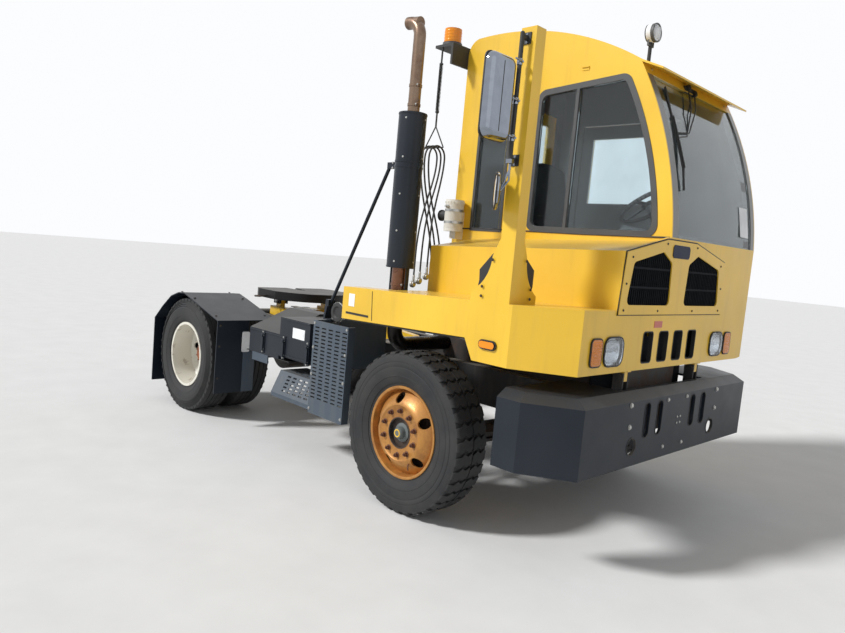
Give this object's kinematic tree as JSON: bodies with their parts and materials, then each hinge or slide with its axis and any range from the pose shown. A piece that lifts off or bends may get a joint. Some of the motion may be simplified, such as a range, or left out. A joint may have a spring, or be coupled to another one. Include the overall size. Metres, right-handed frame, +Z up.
{
  "type": "terminal tractor",
  "caption": "Yard tractor with an offset tilting cab, hood and fender beside it, heavy bumper and a lifting fifth wheel.",
  "frame": {"origin": "on the ground below the middle of the overall box", "axes": "+X forward, +Y to the vehicle's left, +Z up"},
  "size_m": [4.841, 3.06, 3.3899],
  "materials": {
    "yellow_paint": "gloss",
    "black_paint": "satin",
    "blue_grey_paint": "satin",
    "frame_black": "satin",
    "cast_metal": "rough",
    "tyre_rubber": "matte",
    "rust_rim": "rusty",
    "white_rim": "worn",
    "tinted_glass": "gloss",
    "lamp_lens": "gloss",
    "lamp_body": "matte",
    "mirror_chrome": "polished",
    "seat_cloth": "matte",
    "dash_plastic": "matte",
    "canister_plastic": "matte",
    "hose_rubber": "matte",
    "window_seal": "matte",
    "steel_bright": "worn",
    "greased_black": "oily",
    "copper_pipe": "heat stained"
  },
  "bodies": {
    "chassis": {"frame_rails": "frame_black", "front_bumper": "black_paint", "front_axle": "cast_metal", "rear_axle": "cast_metal", "engine_block": "cast_metal", "exhaust_stack": "copper_pipe", "heat_shield": "black_paint", "battery_box": "blue_grey_paint", "side_step": "blue_grey_paint", "fuel_tank": "black_paint", "rear_fenders": "black_paint", "tail_lamps": "lamp_body"},
    "cab": {"cab_roof": "yellow_paint", "cab_right_wall": "yellow_paint", "cab_left_wall": "yellow_paint", "cab_rear_wall": "yellow_paint", "cab_floor": "lamp_body", "cab_glass": "tinted_glass", "front_panel": "yellow_paint", "grille_panel": "yellow_paint", "grille_mesh": "frame_black", "window_frames": "window_seal", "front_lamps": "lamp_lens", "hood": "yellow_paint", "right_fender": "yellow_paint", "mirror_post": "yellow_paint", "mirrors": "mirror_chrome", "roof_lamps": "lamp_body", "driver_seat": "seat_cloth", "dashboard": "dash_plastic", "air_canister": "canister_plastic", "air_hose_supply": "hose_rubber", "air_hose_service": "hose_rubber", "trailer_cable": "hose_rubber", "hose_couplings": "steel_bright"},
    "left_door": {"left_door": "yellow_paint", "left_door_glass": "tinted_glass"},
    "rear_door": {"rear_door": "yellow_paint", "rear_door_glass": "tinted_glass"},
    "left_steer": {"left_knuckle": "cast_metal"},
    "right_steer": {"right_knuckle": "cast_metal"},
    "tie_rod": {"tie_rod": "cast_metal"},
    "front_left_wheel": {"front_left_tyre": "tyre_rubber", "front_left_rim": "rust_rim"},
    "front_right_wheel": {"front_right_tyre": "tyre_rubber", "front_right_rim": "rust_rim"},
    "rear_left_wheels": {"rear_left_tyres": "tyre_rubber", "rear_left_rims": "white_rim"},
    "rear_right_wheels": {"rear_right_tyres": "tyre_rubber", "rear_right_rims": "white_rim"},
    "boom": {"lift_boom": "yellow_paint"},
    "coupling_plate": {"fifth_wheel": "greased_black"},
    "lift_barrels": {"lift_barrels": "frame_black"},
    "lift_rods": {"lift_rods": "steel_bright"}
  },
  "joints": [
    {"name": "cab_tilt", "type": "hinge", "parent": "chassis", "child": "cab", "pos_m": [2.2805, 0, 1.05], "axis": [0, 1, 0], "range_deg": [0, 45]},
    {"name": "left_door_swing", "type": "hinge", "parent": "cab", "child": "left_door", "pos_m": [1.6475, 1.184, 2], "axis": [0, 0, -1], "range_deg": [0, 80]},
    {"name": "rear_door_slide", "type": "slide", "parent": "cab", "child": "rear_door", "axis": [0, -1, 0], "range_m": [0, 0.43]},
    {"name": "left_steering", "type": "hinge", "parent": "chassis", "child": "left_steer", "pos_m": [1.1855, 0.87, 0.52], "axis": [0, 0, 1], "range_deg": [-38, 38]},
    {"name": "right_steering", "type": "hinge", "parent": "chassis", "child": "right_steer", "pos_m": [1.1855, -0.87, 0.52], "axis": [0, 0, 1], "range_deg": [-38, 38]},
    {"name": "tie_rod_swivel", "type": "hinge", "parent": "left_steer", "child": "tie_rod", "pos_m": [0.9255, 0.87, 0.386], "axis": [0, 0, 1], "range_deg": [-38, 38]},
    {"name": "front_left_spin", "type": "hinge", "parent": "left_steer", "child": "front_left_wheel", "pos_m": [1.1855, 1.063, 0.52], "axis": [0, 1, 0], "continuous": true},
    {"name": "front_right_spin", "type": "hinge", "parent": "right_steer", "child": "front_right_wheel", "pos_m": [1.1855, -1.063, 0.52], "axis": [0, 1, 0], "continuous": true},
    {"name": "rear_left_spin", "type": "hinge", "parent": "chassis", "child": "rear_left_wheels", "pos_m": [-1.7605, 0.93, 0.52], "axis": [0, 1, 0], "continuous": true},
    {"name": "rear_right_spin", "type": "hinge", "parent": "chassis", "child": "rear_right_wheels", "pos_m": [-1.7605, -0.93, 0.52], "axis": [0, 1, 0], "continuous": true},
    {"name": "boom_lift", "type": "hinge", "parent": "chassis", "child": "boom", "pos_m": [-0.2705, 0, 0.83], "axis": [0, 1, 0], "range_deg": [0, 14]},
    {"name": "plate_tilt", "type": "hinge", "parent": "boom", "child": "coupling_plate", "pos_m": [-1.6645, 0, 1.047], "axis": [0, 1, 0], "range_deg": [-10, 10]},
    {"name": "barrel_swing", "type": "hinge", "parent": "chassis", "child": "lift_barrels", "pos_m": [-0.5605, 0, 0.6], "axis": [0, 1, 0], "range_deg": [0, 17.03]},
    {"name": "rod_slide", "type": "slide", "parent": "lift_barrels", "child": "lift_rods", "axis": [-0.9414, 0, 0.3373], "range_m": [0, 0.08305]}
  ],
  "couplings": [
    {"joint": "right_steering", "follows": "left_steering", "ratio": 1},
    {"joint": "tie_rod_swivel", "follows": "left_steering", "ratio": -1},
    {"joint": "barrel_swing", "follows": "boom_lift", "ratio": 1.2157},
    {"joint": "rod_slide", "follows": "boom_lift", "m_per_rad": 0.33907}
  ]
}
